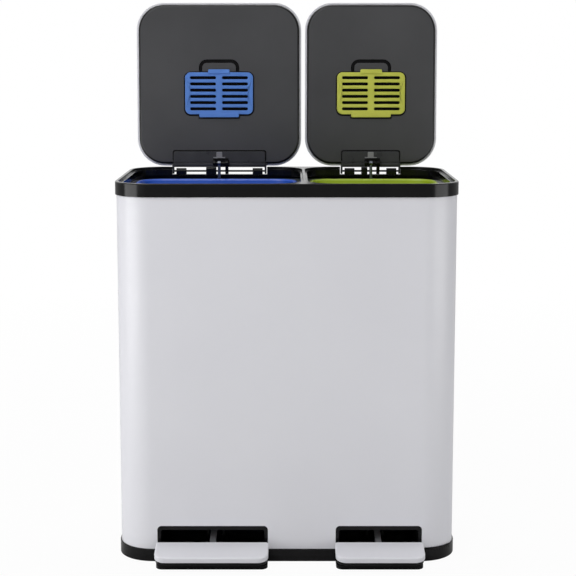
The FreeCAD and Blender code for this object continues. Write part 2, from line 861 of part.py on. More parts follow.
def make_panel(side):
    body = new_body(f"{side}_lid_panel")
    under = -d.lid_underside
    roof = d.lid_crown - d.skin_sheet - d.panel_seat
    drawn = sketch(body, "z", under)
    lid_outline(drawn, side, d.panel_inset)
    pad(body, drawn, roof - under)
    low = under.value
    soften(body, d.panel_fillet, lambda box: flat_at(box, "z", low))
    # hollow upper side, which leaves the box round the filter standing
    drawn = sketch(body, "z", under + d.panel_floor)
    lid_outline(drawn, side, d.panel_inset + d.panel_rim + d.panel_fillet / 2)
    left, right, near, far = cassette_span(side, d.cassette_edge - d.cassette_wall)
    rounded(drawn, left, right, near, far, d.grille_corner)
    pocket(body, drawn, roof - under)
    left, right, near, far = cassette_span(side, d.cassette_edge)
    drawn = sketch(body, "z", under)
    rounded(drawn, left, right, near, far, d.grille_corner - d.cassette_wall)
    pocket(body, drawn, d.recess_depth + d.filter_thick)
    # finger recess: an arch-shaped groove round the grille's pull
    middle = lid_middle(side)
    drawn = sketch(body, "z", under)
    half = d.arch_width / 2
    top = -d.grille_far - d.arch_rise
    foot = -d.grille_far + d.cassette_edge
    rounded(drawn, middle - half, middle + half, top, foot, d.arch_corner, d.arch_foot_corner)
    groove = d.arch_groove
    rounded(
        drawn,
        middle - half + groove,
        middle + half - groove,
        top + groove,
        foot - d.arch_foot_lift,
        d.arch_corner - groove,
        d.arch_foot_corner,
    )
    pocket(body, drawn, d.recess_depth)
    # recess under the grille's hinge tab
    drawn = sketch(body, "z", under)
    half = d.tab_width / 2 + d.tab_room
    start = -d.grille_near - d.cassette_edge
    end = -d.grille_near + d.tab_reach + d.tab_room_far
    rounded(drawn, middle - half, middle + half, start, end, d.tab_room_corner)
    pocket(body, drawn, d.recess_depth)
    open_lid(body)


def make_hinge_plate(side):
    """Steel plate on the lid with two ears that turn on the hinge pin."""
    body = new_body(f"{side}_hinge_plate")
    middle = lid_middle(side)
    reach = of_side(side, "hinge_half")
    face = -d.lid_underside - d.plate_thick
    half = reach - d.plate_clearance
    drawn = sketch(body, "z", face)
    far, near = d.plate_corner, d.plate_near_corner
    rounded(drawn, middle - half, middle + half, -d.plate_far, -d.plate_near, far, near)
    pad(body, drawn, d.plate_thick)
    # pressed beads across the plate
    drawn = sketch(body, "z", face)
    for line in (d.plate_near + d.first_bead, d.plate_near + d.second_bead):
        rectangle(drawn, middle - half, middle + half, -line - d.bead_width, -line)
    pocket(body, drawn, d.bead_depth)
    # open slot for the crank's cheek
    drawn = sketch(body, "z", face)
    cheek = middle + d.cheek_right
    gap = d.shell_gap * 2
    slot_end = -d.crank_forward - d.crank_boss - gap * 2
    rectangle(drawn, cheek - d.cheek_width - gap, cheek + gap, slot_end, 0)
    pocket(body, drawn, d.plate_thick)
    for start in (-reach, reach - d.ear_width):
        drawn = sketch(body, "x", middle + start)
        root = -d.plate_near - d.ear_root
        polygon(
            drawn,
            [
                (0, -d.ear_radius),
                (0, d.ear_radius - d.ear_step),
                (root, -d.lid_underside),
                (root, face),
            ],
        )
        pad(body, drawn, d.ear_width)
        drawn = sketch(body, "x", middle + start)
        disc(drawn, 0, 0, d.ear_radius)
        pad(body, drawn, d.ear_width)
        drawn = sketch(body, "x", middle + start)
        disc(drawn, 0, 0, d.pin_radius + d.pin_clearance)
        pocket(body, drawn, d.ear_width)
    open_lid(body)


def make_crank(side):
    """Yoke on the hinge plate with the pin that the push rod lifts."""
    body = new_body(f"{side}_crank")
    middle = lid_middle(side)
    face = -d.lid_underside - d.plate_thick
    deep = face - d.crank_deep
    back = -d.crank_back
    tip = -d.crank_forward + d.crank_boss
    left = middle - d.cheek_left
    right = middle + d.cheek_right
    drawn = sketch(body, "x", left)
    web = back + d.crank_web
    rectangle(drawn, back, web, deep, face)
    pad(body, drawn, right - left)
    thin = d.cheek_width - d.cheek_thinning
    for start, width in ((left, thin), (right - d.cheek_width, d.cheek_width)):
        drawn = sketch(body, "x", start)
        rectangle(drawn, back, tip, deep, face)
        pad(body, drawn, width)
        drawn = sketch(body, "x", start)
        disc(drawn, -d.crank_forward, -d.crank_below, d.crank_boss)
        pad(body, drawn, width)
    # the right cheek reaches back through the plate's slot to the hinge pin
    drawn = sketch(body, "x", right - d.cheek_width)
    low_line = -d.crank_below - d.crank_under
    boss = d.ear_radius + d.crank_eye
    polygon(
        drawn,
        [
            (-d.crank_forward, -d.lid_underside - d.crank_seat),
            (-d.crank_forward, low_line),
            (0, -boss),
            (0, boss),
            (-d.crank_forward + d.crank_root, -d.lid_underside - d.crank_seat),
        ],
    )
    pad(body, drawn, d.cheek_width)
    drawn = sketch(body, "x", right - d.cheek_width)
    disc(drawn, 0, 0, boss)
    pad(body, drawn, d.cheek_width)
    drawn = sketch(body, "x", right - d.cheek_width)
    disc(drawn, 0, 0, d.pin_radius + d.pin_clearance)
    pocket(body, drawn, d.cheek_width)
    drawn = sketch(body, "x", left)
    disc(drawn, -d.crank_forward, -d.crank_below, d.crank_pin)
    pad(body, drawn, right - left)
    open_lid(body)


def make_clip(side):
    body = new_body(f"{side}_clip")
    middle = lid_middle(side)
    face = -d.lid_underside - d.plate_thick
    half = d.clip_width / 2
    drawn = sketch(body, "z", face - d.clip_thick)
    bar = -d.crank_back - d.clip_gap
    far = -d.plate_far + d.clip_end
    rounded(drawn, middle - half, middle + half, far, bar, d.clip_corner, d.clip_foot_corner)
    pad(body, drawn, d.clip_thick)
    drawn = sketch(body, "z", face - d.wing_thick)
    wing = d.clip_span / 2
    rounded(drawn, middle - wing, middle + wing, bar - d.wing_high, bar, d.wing_corner)
    pad(body, drawn, d.wing_thick)
    open_lid(body)


def make_filter(side):
    body = new_body(f"{side}_filter_pad")
    left, right, near, far = cassette_span(side, d.cassette_edge + d.filter_gap)
    top = -d.lid_underside + d.recess_depth + d.filter_thick
    drawn = sketch(body, "z", top - d.filter_thick)
    rounded(drawn, left, right, near, far, d.grille_corner - d.cassette_wall - d.filter_gap)
    pad(body, drawn, d.filter_thick)
    open_lid(body)


def make_grille(side):
    """Slotted cover of the filter, with a pull at one end and a hinge tab at the other."""
    body = new_body(f"{side}_filter_cover")
    middle = lid_middle(side)
    face = -d.lid_underside - d.grille_proud
    half = d.grille_width / 2
    drawn = sketch(body, "z", face)
    rounded(
        drawn, middle - half, middle + half, -d.grille_far, -d.grille_near, d.grille_corner
    )
    pad(body, drawn, d.grille_proud - d.cover_seat)
    left, right, near, far = cassette_span(side, d.cassette_edge + d.plug_gap)
    drawn = sketch(body, "z", face + d.grille_proud / 2)
    rounded(drawn, left, right, near, far, d.grille_corner - d.cassette_wall - d.plug_gap)
    pad(body, drawn, d.grille_thick - d.grille_proud / 2)
    drawn = sketch(body, "z", face)
    half = d.pull_width / 2
    reach = -d.grille_far - d.pull_reach
    end = -d.grille_far + d.pull_overlap
    rounded(drawn, middle - half, middle + half, reach, end, d.pull_corner)
    pad(body, drawn, d.grille_proud - d.cover_seat)
    drawn = sketch(body, "z", face)
    half = d.tab_width / 2
    reach = -d.grille_near + d.tab_reach
    start = -d.grille_near - d.pull_overlap
    rounded(drawn, middle - half, middle + half, start, reach, d.tab_root_corner, d.tab_corner)
    pad(body, drawn, d.grille_proud - d.cover_seat)
    # two columns of slots
    drawn = sketch(body, "z", face - overrun)
    first = -(d.grille_near + d.grille_far) / 2 - d.slot_pitch * (slot_rows - 1) / 2
    low = first - d.slot_height / 2
    gap = (d.slot_gap - d.slot_height) / 2
    for start in (middle - gap - d.slot_length, middle + gap):
        rounded(
            drawn,
            start,
            start + d.slot_length,
            low,
            low + d.slot_height,
            d.slot_height / 2 - d.slot_flat,
        )
    cut = pocket(body, drawn, d.grille_thick * 2)
    rowed = body.newObject("PartDesign::LinearPattern", f"{body.Name}_Rows")
    rowed.Originals = [cut]
    rowed.Direction = (drawn, ["V_Axis"])
    rowed.setExpression("Length", (d.slot_pitch * (slot_rows - 1)).text)
    rowed.Occurrences = slot_rows
    body.Tip = rowed
    doc.recompute()
    open_lid(body)


# ---- push rod, drawn from the crank pin's axis down ----


def make_push_rod(side):
    body = new_body(f"{side}_push_rod")
    half = d.eye_width / 2
    drawn = sketch(body, "x", -half)
    disc(drawn, 0, 0, d.eye_radius)
    pad(body, drawn, d.eye_width)
    foot = lever_height(crank_open_y + d.rod_radius) + d.rod_gap - crank_open_z
    drawn = sketch(body, "z", foot)
    disc(drawn, 0, 0, d.rod_radius)
    pad(body, drawn, -foot - d.crank_pin - d.rod_gap)
    drawn = sketch(body, "x", -half)
    disc(drawn, 0, 0, d.crank_pin + d.shaft_clearance)
    pocket(body, drawn, d.eye_width)
    place(body, x=lid_middle(side), y=crank_open_y, z=crank_open_z)


# ---- pedal pieces, drawn level with the pivot at Y = 0, Z = 0 ----


def pedal_outline(drawn, side, inset):
    half = of_side(side, "notch") / 2 + d.pedal_overhang - inset
    middle = lid_middle(side)
    front = -pedal_near - d.pedal_length + inset
    rear = -pedal_near - inset
    front_corner = d.pedal_corner - inset
    rounded(drawn, middle - half, middle + half, front, rear, front_corner, d.pedal_rear_corner - inset)


def make_pedal_plate(side):
    body = new_body(f"{side}_pedal_plate")
    drawn = sketch(body, "z", d.pedal_top - d.pedal_hem)
    pedal_outline(drawn, side, as_size(0))
    pad(body, drawn, d.pedal_hem)
    top = d.pedal_top.value
    soften(body, d.pedal_fillet, lambda box: flat_at(box, "z", top))
    base = body.Tip
    low = (d.pedal_top - d.pedal_hem).value
    under = [f"Face{i}" for i, f in enumerate(base.Shape.Faces, 1) if flat_at(f.BoundBox, "z", low)]
    hollow = body.newObject("PartDesign::Thickness", f"{body.Name}_Hollow")
    hollow.Base = (base, under)
    hollow.setExpression("Value", d.pedal_sheet.text)
    hollow.Reversed = True
    hollow.Join = 0
    doc.recompute()
    # notch in the rear hem that the lever passes through
    middle = lid_middle(side)
    half = d.lever_width / 2 + d.lever_room
    rear = -pedal_near
    drawn = sketch(body, "z", d.pedal_top - d.pedal_hem)
    front = rear - d.pedal_corner / 2
    rectangle(drawn, middle - half, middle + half, front, rear + overrun)
    pocket(body, drawn, d.lever_top + d.tray_gap * 2 - d.pedal_top + d.pedal_hem)
    pressed(body)


def make_pedal_tray(side):
    """Moulding that fills the pedal from below and holds the lever."""
    body = new_body(f"{side}_pedal_tray")
    low = d.pedal_top - d.pedal_hem - d.tray_drop
    high = d.pedal_top - d.pedal_sheet - d.pedal_fillet
    drawn = sketch(body, "z", low)
    pedal_outline(drawn, side, d.pedal_sheet + d.tray_gap)
    pad(body, drawn, high - low)
    middle = lid_middle(side)
    half = d.lever_width / 2 + d.tray_gap
    front = -pedal_near - d.pedal_length
    drawn = sketch(body, "z", low)
    rectangle(drawn, middle - half, middle + half, front + d.pedal_corner, 0)
    pocket(body, drawn, d.lever_top + d.tray_gap - low)
    pressed(body)


def make_lever(side):
    body = new_body(f"{side}_pedal_lever")
    middle = lid_middle(side)
    front = -pedal_near - d.pedal_length + d.pedal_corner + d.lever_end_gap
    rear = lever_reach + d.lever_tail
    half = d.lever_width / 2
    drawn = sketch(body, "z", -d.lever_bottom)
    rounded(drawn, middle - half, middle + half, front, rear, d.lever_corner)
    pad(body, drawn, d.lever_bottom + d.lever_top)
    half = d.boss_width / 2
    drawn = sketch(body, "x", middle - half)
    disc(drawn, 0, 0, d.boss_radius)
    pad(body, drawn, d.boss_width)
    drawn = sketch(body, "x", middle - half)
    disc(drawn, 0, 0, d.shaft_radius + d.shaft_clearance)
    pocket(body, drawn, d.boss_width)
    # the lever's front, thinned where the tray's floor carries it
    low = d.pedal_top - d.pedal_hem - d.tray_drop
    drawn = sketch(body, "z", -d.lever_bottom * 2)
    wide = d.lever_width
    rectangle(drawn, middle - wide, middle + wide, front - wide, -pedal_near + overrun)
    pocket(body, drawn, low + d.lever_bottom * 2)
    pressed(body)


make_shell()
make_base()
pads = make_base_pads()
make_top_frame()
make_deck()
for one_side in ("left", "right"):
    for make in (
        make_hinge_pin,
        make_damper,
        make_bucket,
        make_surround,
        make_bracket,
        make_shaft,
        make_guide,
        make_skin,
        make_panel,
        make_hinge_plate,
        make_crank,
        make_clip,
        make_filter,
        make_grille,
        make_push_rod,
        make_pedal_plate,
        make_pedal_tray,
        make_lever,
    ):
        make(one_side)
doc.recompute()

# ---- check and write ----

faulty = [o.Name for o in doc.Objects if {"Invalid", "Error"} & set(o.State)]
if faulty:
    raise ValueError(f"failed objects: {faulty}")

kinds = ("PartDesign::Body", "Part::Cylinder", "Part::Compound")
nodes = [o for o in doc.Objects if o.TypeId in kinds and o not in pads.Links]
for node in nodes:
    if node.Shape.isNull() or not node.Shape.isValid():
        raise ValueError(f"{node.Label} has no sound shape")

os.makedirs("parts", exist_ok=True)
for node in nodes:
    node.Shape.exportStep(f"parts/{node.Label}.step")
    solids = len(node.Shape.Solids)
    print(f"{node.Label}: {solids} solid(s), {node.Shape.Volume / 1000:.2f} cm3")
print(f"pedal travel {pedal_swing.value:.4f} degrees")
print(f"crank pin while open: y {crank_open_y.value:.3f}, z {crank_open_z.value:.3f}")
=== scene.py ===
import json
import math

import bmesh
import bpy
from mathutils import Matrix, Vector

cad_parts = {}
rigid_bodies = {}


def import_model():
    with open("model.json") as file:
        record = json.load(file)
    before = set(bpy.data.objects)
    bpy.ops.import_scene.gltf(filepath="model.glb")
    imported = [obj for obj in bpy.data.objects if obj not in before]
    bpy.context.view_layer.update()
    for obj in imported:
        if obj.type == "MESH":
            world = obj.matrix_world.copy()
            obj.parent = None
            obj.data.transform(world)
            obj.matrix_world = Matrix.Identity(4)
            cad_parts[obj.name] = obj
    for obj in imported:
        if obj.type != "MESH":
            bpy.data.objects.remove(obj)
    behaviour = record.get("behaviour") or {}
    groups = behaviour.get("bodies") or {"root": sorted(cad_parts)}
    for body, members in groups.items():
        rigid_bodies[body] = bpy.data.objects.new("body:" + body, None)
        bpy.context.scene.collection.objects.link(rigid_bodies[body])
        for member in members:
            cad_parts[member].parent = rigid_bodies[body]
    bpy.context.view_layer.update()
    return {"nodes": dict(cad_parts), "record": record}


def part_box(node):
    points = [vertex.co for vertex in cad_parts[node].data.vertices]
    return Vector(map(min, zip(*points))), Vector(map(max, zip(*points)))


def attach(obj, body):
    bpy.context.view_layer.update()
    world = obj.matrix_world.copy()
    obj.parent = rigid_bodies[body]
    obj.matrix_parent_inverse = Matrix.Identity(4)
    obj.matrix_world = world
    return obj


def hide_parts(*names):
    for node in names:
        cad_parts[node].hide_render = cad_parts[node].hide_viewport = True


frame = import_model()
nodes = frame["nodes"]
mm = 0.001
sides = ("left", "right")
lidMiddle = {"left": -109.0, "right": 135.0}
lid = {"open": 92.0, "hingeY": 133.0, "hingeZ": 551.3, "underside": -3.3, "reach": 260.6,
       "setback": 8.4, "corner": 44.0}
openLid = (Matrix.Translation((0, lid["hingeY"] * mm, lid["hingeZ"] * mm))
           @ Matrix.Rotation(math.radians(-lid["open"]), 4, "X"))
print("frame loaded,", len(nodes), "CAD nodes")


def socketIn(tree, name, kind, value):
    made = tree.interface.new_socket(name, in_out="INPUT", socket_type=kind)
    made.default_value = value


def newGroup(name, inputs, outputs):
    tree = bpy.data.node_groups.new(name, "ShaderNodeTree")
    for label, kind, value in inputs:
        socketIn(tree, label, kind, value)
    for label, kind in outputs:
        tree.interface.new_socket(label, in_out="OUTPUT", socket_type=kind)
    start = tree.nodes.new("NodeGroupInput")
    end = tree.nodes.new("NodeGroupOutput")
    return tree, start, end


def addNode(tree, kind, **settings):
    made = tree.nodes.new(kind)
    for name, value in settings.items():
        if name in made.inputs:
            made.inputs[name].default_value = value
        else:
            setattr(made, name, value)
    return made


def mathNode(tree, operation, first, second):
    made = tree.nodes.new("ShaderNodeMath")
    made.operation = operation
    for slot, value in zip(made.inputs, (first, second)):
        if isinstance(value, (int, float)):
            slot.default_value = value
        else:
            tree.links.new(value, slot)
    return made.outputs[0]


def spread(tree, value, low, high, fromLow=0.0, fromHigh=1.0):
    made = tree.nodes.new("ShaderNodeMapRange")
    for name, number in (("From Min", fromLow), ("From Max", fromHigh),
                         ("To Min", low), ("To Max", high)):
        made.inputs[name].default_value = number
    tree.links.new(value, made.inputs["Value"])
    return made.outputs[0]


grain = {"cells": {"Detail": 3.0, "Roughness": 0.6}, "waves": {"Detail": 4.0, "Roughness": 0.55}}


def makeMouldGrain():
    # spark-eroded grain of a plastic moulding: fine cells over a soft waviness
    tree, start, end = newGroup(
        "mouldGrain",
        [("Vector", "NodeSocketVector", (0, 0, 0)), ("Grain", "NodeSocketFloat", 900.0),
         ("Waves", "NodeSocketFloat", 30.0), ("Wave share", "NodeSocketFloat", 0.3)],
        [("Height", "NodeSocketFloat"), ("Mottle", "NodeSocketFloat")],
    )
    cells = addNode(tree, "ShaderNodeTexNoise", **grain["cells"])
    waves = addNode(tree, "ShaderNodeTexNoise", **grain["waves"])
    tree.links.new(start.outputs["Vector"], cells.inputs["Vector"])
    tree.links.new(start.outputs["Vector"], waves.inputs["Vector"])
    tree.links.new(start.outputs["Grain"], cells.inputs["Scale"])
    tree.links.new(start.outputs["Waves"], waves.inputs["Scale"])
    share = mathNode(tree, "MULTIPLY", waves.outputs["Fac"], start.outputs["Wave share"])
    height = mathNode(tree, "ADD", cells.outputs["Fac"], share)
    tree.links.new(height, end.inputs["Height"])
    tree.links.new(waves.outputs["Fac"], end.inputs["Mottle"])
    return tree


ripple = {"peel": {"Detail": 2.0, "Roughness": 0.5}, "gloss": {"Scale": 6.0, "Detail": 3.0}}


def makeCoatRipple():
    # orange peel of baked enamel, with a very soft unevenness of the gloss
    tree, start, end = newGroup(
        "coatRipple",
        [("Vector", "NodeSocketVector", (0, 0, 0)), ("Peel", "NodeSocketFloat", 260.0)],
        [("Height", "NodeSocketFloat"), ("Gloss", "NodeSocketFloat")],
    )
    peel = addNode(tree, "ShaderNodeTexNoise", **ripple["peel"])
    gloss = addNode(tree, "ShaderNodeTexNoise", **ripple["gloss"])
    for made in (peel, gloss):
        tree.links.new(start.outputs["Vector"], made.inputs["Vector"])
    tree.links.new(start.outputs["Peel"], peel.inputs["Scale"])
    tree.links.new(peel.outputs["Fac"], end.inputs["Height"])
    tree.links.new(gloss.outputs["Fac"], end.inputs["Gloss"])
    return tree


smudges = {"noise": {"Scale": 11.0, "Detail": 6.0, "Roughness": 0.62},
           "specks": {"Scale": 420.0, "Detail": 2.0}, "from": 0.52, "to": 0.74}


def makeHandling():
    # faint smudges and rubbed specks that handling leaves, as one mask
    tree, start, end = newGroup(
        "handling",
        [("Vector", "NodeSocketVector", (0, 0, 0)), ("Amount", "NodeSocketFloat", 0.5)],
        [("Mask", "NodeSocketFloat")],
    )
    smudge = addNode(tree, "ShaderNodeTexNoise", **smudges["noise"])
    speck = addNode(tree, "ShaderNodeTexNoise", **smudges["specks"])
    for made in (smudge, speck):
        tree.links.new(start.outputs["Vector"], made.inputs["Vector"])
    clear = spread(tree, smudge.outputs["Fac"], 0.0, 1.0, smudges["from"], smudges["to"])
    broken = mathNode(tree, "MULTIPLY", clear, speck.outputs["Fac"])
    scaled = mathNode(tree, "MULTIPLY", broken, start.outputs["Amount"])
    tree.links.new(scaled, end.inputs["Mask"])
    return tree


mouldGrain = makeMouldGrain()
coatRipple = makeCoatRipple()
handling = makeHandling()


def newMaterial(name):
    made = bpy.data.materials.new(name)
    made.use_nodes = True
    tree = made.node_tree
    shader = tree.nodes["Principled BSDF"]
    coords = tree.nodes.new("ShaderNodeTexCoord").outputs["Object"]
    return made, tree, shader, coords


def placeGroup(tree, group, coords, **values):
    made = tree.nodes.new("ShaderNodeGroup")
    made.node_tree = group
    tree.links.new(coords, made.inputs["Vector"])
    for name, value in values.items():
        made.inputs[name].default_value = value
    return made


def blendColours(tree, mask, first, second):
    made = tree.nodes.new("ShaderNodeMix")
    made.data_type = "RGBA"
    made.inputs["A"].default_value = (*first, 1)
    made.inputs["B"].default_value = (*second, 1)
    tree.links.new(mask, made.inputs["Factor"])
    return made.outputs["Result"]


def addBump(tree, shader, height, distance):
    made = tree.nodes.new("ShaderNodeBump")
    made.inputs["Distance"].default_value = distance
    tree.links.new(height, made.inputs["Height"])
    tree.links.new(made.outputs[0], shader.inputs["Normal"])


enamelLook = {"colour": (0.72, 0.72, 0.757), "shade": (0.7, 0.7, 0.74), "rough": (0.3, 0.36),
              "peelSize": 900.0, "peel": 0.00001, "specular": 0.45, "noiseSpan": (0.3, 0.7)}


def makeEnamel():
    made, tree, shader, coords = newMaterial("whiteEnamel")
    coat = placeGroup(tree, coatRipple, coords, Peel=enamelLook["peelSize"])
    span = enamelLook["noiseSpan"]
    tone = spread(tree, coat.outputs["Gloss"], 0.0, 1.0, *span)
    colour = blendColours(tree, tone, enamelLook["colour"], enamelLook["shade"])
    tree.links.new(colour, shader.inputs["Base Color"])
    tree.links.new(spread(tree, coat.outputs["Gloss"], *enamelLook["rough"], *span),
                   shader.inputs["Roughness"])
    shader.inputs["Specular IOR Level"].default_value = enamelLook["specular"]
    addBump(tree, shader, coat.outputs["Height"], enamelLook["peel"])
    return made


plasticSpan = {"colour": (0.3, 0.75), "rough": (0.3, 0.8)}  # part of the noise that is used


def makePlastic(name, colour, shade, rough, grainSize=900.0, grainDepth=0.00002, waves=30.0,
                specular=0.5, worn=0.5):
    made, tree, shader, coords = newMaterial(name)
    cells = placeGroup(tree, mouldGrain, coords, Grain=grainSize, Waves=waves)
    touched = placeGroup(tree, handling, coords, Amount=worn)
    mixed = mathNode(tree, "ADD", cells.outputs["Mottle"], touched.outputs["Mask"])
    mask = spread(tree, mixed, 0.0, 1.0, *plasticSpan["colour"])
    tree.links.new(blendColours(tree, mask, colour, shade), shader.inputs["Base Color"])
    tree.links.new(spread(tree, mixed, *rough, *plasticSpan["rough"]), shader.inputs["Roughness"])
    shader.inputs["Specular IOR Level"].default_value = specular
    addBump(tree, shader, cells.outputs["Height"], grainDepth)
    return made


# painted shade: near-black colour for the lid panel's rounded border and grooves
panelEdgeShade = {"colour": (0.004, 0.004, 0.0045), "from": 0.02, "to": 0.25}


def paintPanelEdgeShade(look):
    # painted shade: the plastic deeper than the panel's flat face, its rounded border and
    # grooves, is coloured near black
    tree = look.node_tree
    shader = tree.nodes["Principled BSDF"]
    coords = tree.nodes.new("ShaderNodeTexCoord").outputs["Object"]
    inward = tree.nodes.new("ShaderNodeVectorMath")
    inward.operation = "DOT_PRODUCT"
    tree.links.new(coords, inward.inputs[0])
    up = openLid.to_3x3() @ Vector((0, 0, 1))
    inward.inputs[1].default_value = up
    face = up.dot(openLid @ Vector((0, 0, lid["underside"] * mm)))
    mask = spread(tree, inward.outputs["Value"], 0.0, 1.0, face + panelEdgeShade["from"] * mm,
                  face + panelEdgeShade["to"] * mm)
    mixed = tree.nodes.new("ShaderNodeMix")
    mixed.data_type = "RGBA"
    tree.links.new(mask, mixed.inputs["Factor"])
    tree.links.new(shader.inputs["Base Color"].links[0].from_socket, mixed.inputs["A"])
    mixed.inputs["B"].default_value = (*panelEdgeShade["colour"], 1)
    tree.links.new(mixed.outputs["Result"], shader.inputs["Base Color"])


drawnLines = {"noise": {"Scale": 60.0, "Detail": 5.0, "Roughness": 0.7}, "dark": 0.82,
              "depth": 0.00001}


def makeSteel(name, colour, rough, scratch):
    made, tree, shader, coords = newMaterial(name)
    stretch = tree.nodes.new("ShaderNodeMapping")
    stretch.inputs["Scale"].default_value = scratch
    tree.links.new(coords, stretch.inputs["Vector"])
    lines = addNode(tree, "ShaderNodeTexNoise", **drawnLines["noise"])
    tree.links.new(stretch.outputs[0], lines.inputs["Vector"])
    shader.inputs["Metallic"].default_value = 1.0
    dark = tuple(c * drawnLines["dark"] for c in colour)
    tone = blendColours(tree, lines.outputs["Fac"], dark, colour)
    tree.links.new(tone, shader.inputs["Base Color"])
    tree.links.new(spread(tree, lines.outputs["Fac"], *rough), shader.inputs["Roughness"])
    addBump(tree, shader, lines.outputs["Fac"], drawnLines["depth"])
    return made


felt = {"fibres": 1400.0, "dark": (0.002, 0.002, 0.002), "pale": (0.008, 0.008, 0.009),
        "rough": 0.95, "specular": 0.05, "depth": 0.0003}


def makeFelt():
    made, tree, shader, coords = newMaterial("carbonFelt")
    fibres = addNode(tree, "ShaderNodeTexVoronoi", Scale=felt["fibres"])
    tree.links.new(coords, fibres.inputs["Vector"])
    tone = blendColours(tree, fibres.outputs["Distance"], felt["dark"], felt["pale"])
    tree.links.new(tone, shader.inputs["Base Color"])
    shader.inputs["Roughness"].default_value = felt["rough"]
    shader.inputs["Specular IOR Level"].default_value = felt["specular"]
    addBump(tree, shader, fibres.outputs["Distance"], felt["depth"])
    return made


looks = {
    "white_enamel": makeEnamel(),
    "black_plastic": makePlastic("blackPlastic", (0.004, 0.004, 0.0042), (0.006, 0.006, 0.0064),
                                 (0.17, 0.23), grainDepth=0.000003, specular=0.25),
    "lid_plastic": makePlastic("charcoalPlastic", (0.058, 0.058, 0.061), (0.069, 0.069, 0.0725),
                               (0.28, 0.36), waves=9.0, specular=0.35, worn=0.0),
    "bucket_blue": makePlastic("blueBucketPlastic", (0.01, 0.075, 0.46), (0.013, 0.09, 0.52),
                               (0.18, 0.26), specular=0.4),
    "bucket_green": makePlastic("limeBucketPlastic", (0.3, 0.42, 0.008), (0.34, 0.47, 0.011),
                                (0.18, 0.26), specular=0.4),
    "filter_blue": makePlastic("blueGrillePlastic", (0.08, 0.2, 0.56), (0.095, 0.23, 0.62),
                               (0.34, 0.44), specular=0.4),
    "filter_green": makePlastic("limeGrillePlastic", (0.48, 0.5, 0.07), (0.54, 0.56, 0.09),
                                (0.34, 0.44), specular=0.4),
    "hinge_metal": makePlastic("lacqueredSteel", (0.046, 0.046, 0.049), (0.058, 0.058, 0.062),
                               (0.26, 0.36), grainSize=500.0, grainDepth=0.000008,
                               specular=0.2),
    "pin_steel": makeSteel("drawnSteel", (0.24, 0.26, 0.3), (0.22, 0.42), (1, 1, 0.04)),
    "clip_plastic": makePlastic("greyClipPlastic", (0.24, 0.24, 0.25), (0.3, 0.3, 0.31),
                                (0.3, 0.4)),
    "lever_grey": makePlastic("greyLeverPlastic", (0.13, 0.13, 0.137), (0.16, 0.16, 0.168),
                              (0.4, 0.55)),
    "filter_felt": makeFelt(),
    "foot_rubber": makePlastic("footRubber", (0.012, 0.012, 0.012), (0.02, 0.02, 0.02),
                               (0.75, 0.9), grainSize=600.0, grainDepth=0.00006, specular=0.3),
}
# painted shade on the lid panel's rounded border and grooves
paintPanelEdgeShade(looks["lid_plastic"])
lipHighlightLooks = {  # the rims of the buckets: lighter than the bucket's plastic as a painted highlight, and glossier
    "left": makePlastic("rubbedBlueLip", (0.05, 0.15, 0.7), (0.06, 0.17, 0.75), (0.26, 0.32),
                        specular=0.9, worn=0.2),
    "right": makePlastic("rubbedLimeLip", (0.45, 0.6, 0.04), (0.49, 0.65, 0.05), (0.26, 0.32),
                         specular=0.9, worn=0.2),
}
blackenedPin = makeSteel("blackenedPin", (0.03, 0.03, 0.033), (0.3, 0.45), (0.04, 1, 1))
print("materials made")


slotOf = {s["node"]: s["material_slot"] for s in frame["record"]["subparts"]}
bodyOf = {n: b for b, members in frame["record"]["behaviour"]["bodies"].items() for n in members}


def pieceName(node):
    first, *rest = node.split("_")
    return first + "".join(word.capitalize() for word in rest)


def settle(piece, node, look=None):
    # hands a finished piece to the frame in place of its CAD node
    piece.data.materials.clear()
    piece.data.materials.append(look or looks[slotOf[node]])
    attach(piece, bodyOf[node])
    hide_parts(node)


def bake(source):
    # plain mesh of an object with its modifiers, under the same name
    view = bpy.context.evaluated_depsgraph_get()
    mesh = bpy.data.meshes.new_from_object(source.evaluated_get(view))
    source.modifiers.clear()
    source.data = mesh
    return source


weld = {"cad": 0.000004, "bead": 0.000002, "filled": 0.000005}  # m, points that become one
rounding = {"degrees": 40.0, "flatWeight": 80, "flatDegrees": 0.2}


def roundEdges(piece, width, segments=2):
    # breaks the corners, and lets the flat faces keep their own shading
    piece.data.shade_smooth()
    bevel = piece.modifiers.new("edges", "BEVEL")
    bevel.width = width * mm
    bevel.segments = segments
    bevel.limit_method = "ANGLE"
    bevel.angle_limit = math.radians(rounding["degrees"])
    bevel.use_clamp_overlap = False
    weigh = piece.modifiers.new("shading", "WEIGHTED_NORMAL")
    weigh.weight = rounding["flatWeight"]
    return bake(piece)


def fromCad(node, width, look=None):
    # the CAD solid with its corners broken, as a moulding or a pressing has them
    mesh = nodes[node].data.copy()
    work = bmesh.new()
    work.from_mesh(mesh)
    bmesh.ops.remove_doubles(work, verts=work.verts, dist=weld["cad"])
    bmesh.ops.dissolve_limit(work, angle_limit=math.radians(rounding["flatDegrees"]),
                             verts=work.verts, edges=work.edges)
    work.to_mesh(mesh)
    work.free()
    piece = bpy.data.objects.new(pieceName(node), mesh)
    bpy.context.scene.collection.objects.link(piece)
    roundEdges(piece, width)
    settle(piece, node, look)


